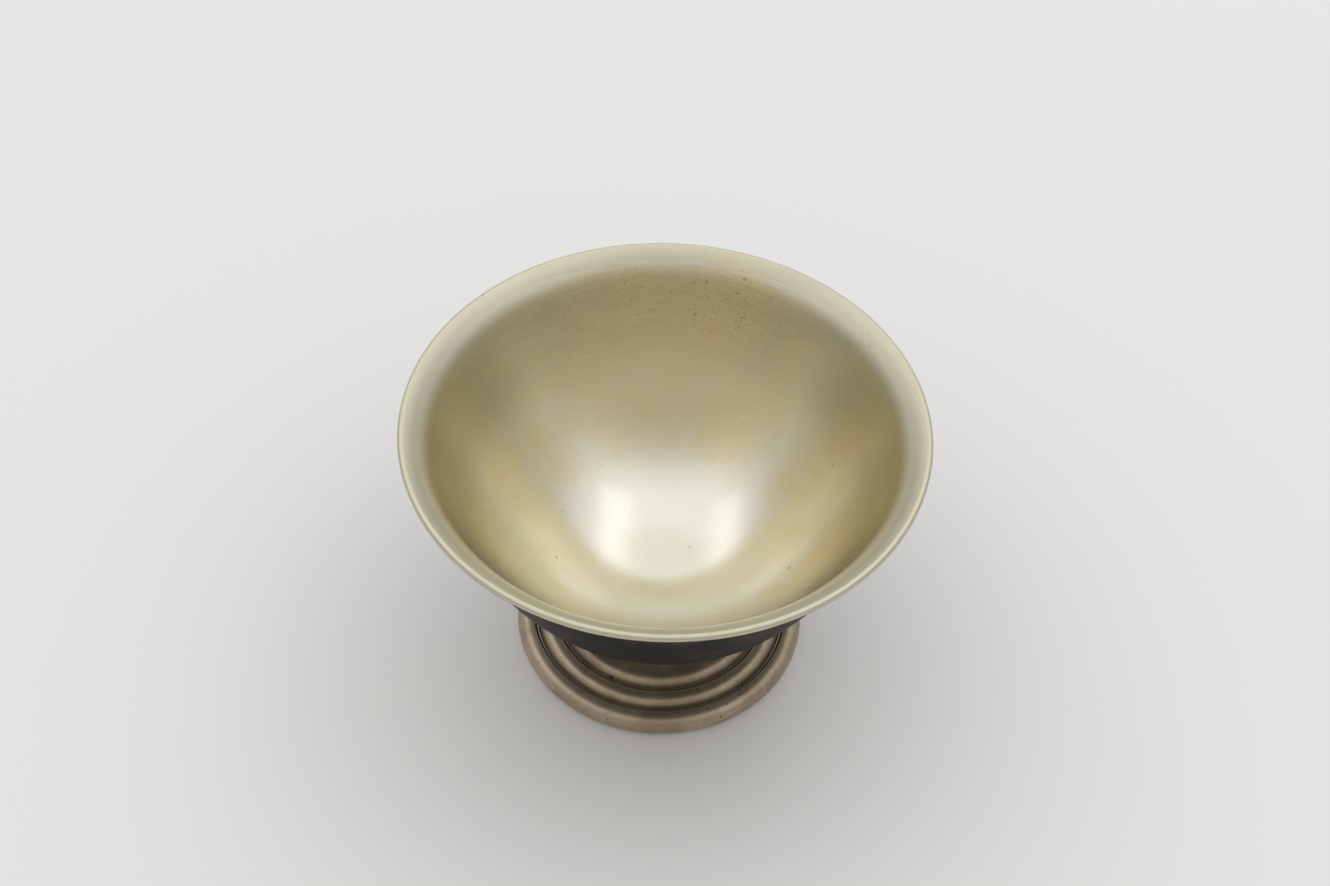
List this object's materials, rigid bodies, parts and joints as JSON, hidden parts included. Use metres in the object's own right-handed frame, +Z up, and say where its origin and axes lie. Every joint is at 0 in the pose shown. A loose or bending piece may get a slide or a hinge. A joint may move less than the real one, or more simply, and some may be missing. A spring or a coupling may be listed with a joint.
{
  "type": "footed bowl",
  "caption": "Small bell-shaped metal bowl with a flared lip on a low stepped round foot, for offerings, water or display.",
  "frame": {"origin": "centre of the foot on the surface that it stands on", "axes": "+Z up along the axis of revolution, X and Y level"},
  "size_m": [0.1, 0.1, 0.061],
  "materials": {
    "bowl_bronze": "satin polished inside, dark patina outside",
    "foot_bronze": "worn satin with dark grooves",
    "fastener_brass": "dull turned brass"
  },
  "bodies": {
    "root": {"bowl": "bowl_bronze", "foot": "foot_bronze", "stud": "fastener_brass", "washer": "fastener_brass", "nut": "fastener_brass"}
  },
  "joints": []
}
